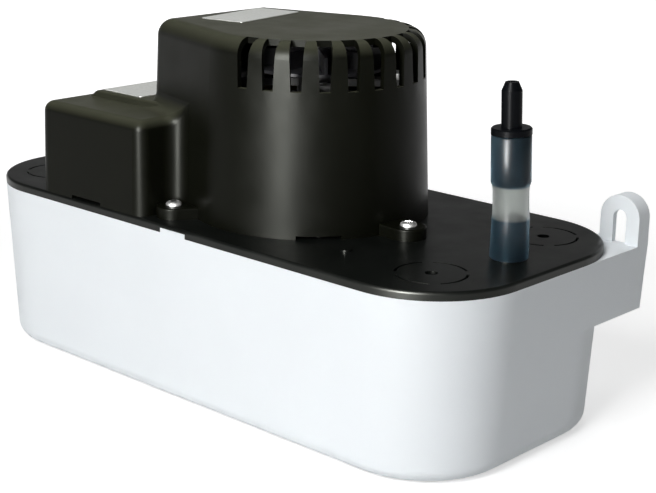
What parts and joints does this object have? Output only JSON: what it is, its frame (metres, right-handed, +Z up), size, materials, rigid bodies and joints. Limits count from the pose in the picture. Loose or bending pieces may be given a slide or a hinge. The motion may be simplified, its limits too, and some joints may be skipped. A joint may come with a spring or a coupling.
{
  "type": "condensate tank pump",
  "caption": "Tank pump for air-conditioner condensate: white tank, black lid with slotted motor cover, clear hose and check valve outlet, wall ears.",
  "frame": {"origin": "centre of the tank's flat underside", "axes": "+X along the length towards the outlet, +Y towards the wall, +Z up"},
  "size_m": [0.28, 0.1281, 0.1528],
  "materials": {
    "tank_white": "satin moulded polypropylene",
    "black_plastic": "fine spark-textured moulding",
    "lid_black": "matte moulding with a smoother rim",
    "valve_black": "satin",
    "clear_hose": "clear flexible vinyl",
    "steel": "bright zinc plate",
    "shaft_steel": "ground",
    "lamination": "stacked sheet edges",
    "cast_zinc": "die cast",
    "bronze": "sintered",
    "winding_tape": "wrapped tape",
    "bobbin_nylon": "moulded",
    "pump_plastic": "moulded",
    "rubber_black": "soft moulded",
    "float_foam": "closed-cell foam",
    "switch_black": "phenolic",
    "sticker": "bare silvered film"
  },
  "bodies": {
    "tank_body": {"tank": "tank_white"},
    "head": {"lid": "lid_black", "motor_cover": "black_plastic", "cover_screws": "steel", "cable_grommet": "rubber_black", "terminal_block": "bobbin_nylon", "terminal_screws": "steel", "discharge_hose": "clear_hose", "check_valve_body": "valve_black", "valve_seat": "rubber_black", "pump_column": "pump_plastic", "column_screws": "steel", "volute_cover": "pump_plastic", "discharge_pipe": "pump_plastic", "lower_bracket": "cast_zinc", "upper_bracket": "cast_zinc", "stator_laminations": "lamination", "coil_bobbin": "bobbin_nylon", "coil_winding": "winding_tape", "motor_screws": "steel", "rubber_mounts": "rubber_black", "float_bracket": "pump_plastic", "float_pivot_pin": "shaft_steel", "switch_bracket": "steel", "switch_screws": "steel", "lower_bearing": "bronze", "upper_bearing": "bronze", "top_sticker": "sticker", "side_sticker": "sticker", "run_switch": "switch_black", "safety_switch": "switch_black"},
    "rotor": {"shaft": "shaft_steel", "shaft_slinger": "rubber_black", "rotor_core": "lamination", "cooling_fan": "bobbin_nylon", "impeller": "pump_plastic"},
    "float": {"float_block": "float_foam", "float_arm": "pump_plastic"},
    "push_rod": {"actuator_rod": "bobbin_nylon"},
    "run_lever": {"run_switch_lever": "steel"},
    "safety_lever": {"safety_switch_lever": "steel"},
    "run_button": {"run_switch_button": "bobbin_nylon"},
    "safety_button": {"safety_switch_button": "bobbin_nylon"},
    "ball": {"valve_ball": "rubber_black"}
  },
  "joints": [
    {"name": "head_lift", "type": "slide", "parent": "tank_body", "child": "head", "axis": [0, 0, 1], "range_m": [0, 0.085]},
    {"name": "rotor_spin", "type": "hinge", "parent": "head", "child": "rotor", "pos_m": [0.02, 0, 0.108], "axis": [0, 0, 1], "continuous": true},
    {"name": "float_swing", "type": "hinge", "parent": "head", "child": "float", "pos_m": [-0.0535, 0, 0.056], "axis": [0, 1, 0], "range_deg": [0, 11.69]},
    {"name": "rod_lift", "type": "slide", "parent": "head", "child": "push_rod", "axis": [0, 0, 1], "range_m": [0, 0.00501]},
    {"name": "ball_lift", "type": "slide", "parent": "head", "child": "ball", "axis": [-0.0269, -0.0249, 0.9993], "range_m": [0, 0.004]},
    {"name": "run_lever_swing", "type": "hinge", "parent": "head", "child": "run_lever", "pos_m": [-0.052, -0.0059, 0.0924], "axis": [0, 1, 0], "range_deg": [0, 11.03]},
    {"name": "run_button_press", "type": "slide", "parent": "head", "child": "run_button", "axis": [0, 0, 1], "range_m": [0, 0.00136]},
    {"name": "safety_lever_swing", "type": "hinge", "parent": "head", "child": "safety_lever", "pos_m": [-0.052, 0.0059, 0.0924], "axis": [0, 1, 0], "range_deg": [0, 11.03]},
    {"name": "safety_button_press", "type": "slide", "parent": "head", "child": "safety_button", "axis": [0, 0, 1], "range_m": [0, 0.00136]}
  ],
  "couplings": [
    {"joint": "rod_lift", "follows": "float_swing", "m_per_rad": 0.0245},
    {"joint": "run_lever_swing", "follows": "float_swing", "ratio": 0.94231},
    {"joint": "run_button_press", "follows": "float_swing", "m_per_rad": 0.0065962},
    {"joint": "safety_lever_swing", "follows": "float_swing", "ratio": 0.94231},
    {"joint": "safety_button_press", "follows": "float_swing", "m_per_rad": 0.0065962}
  ]
}
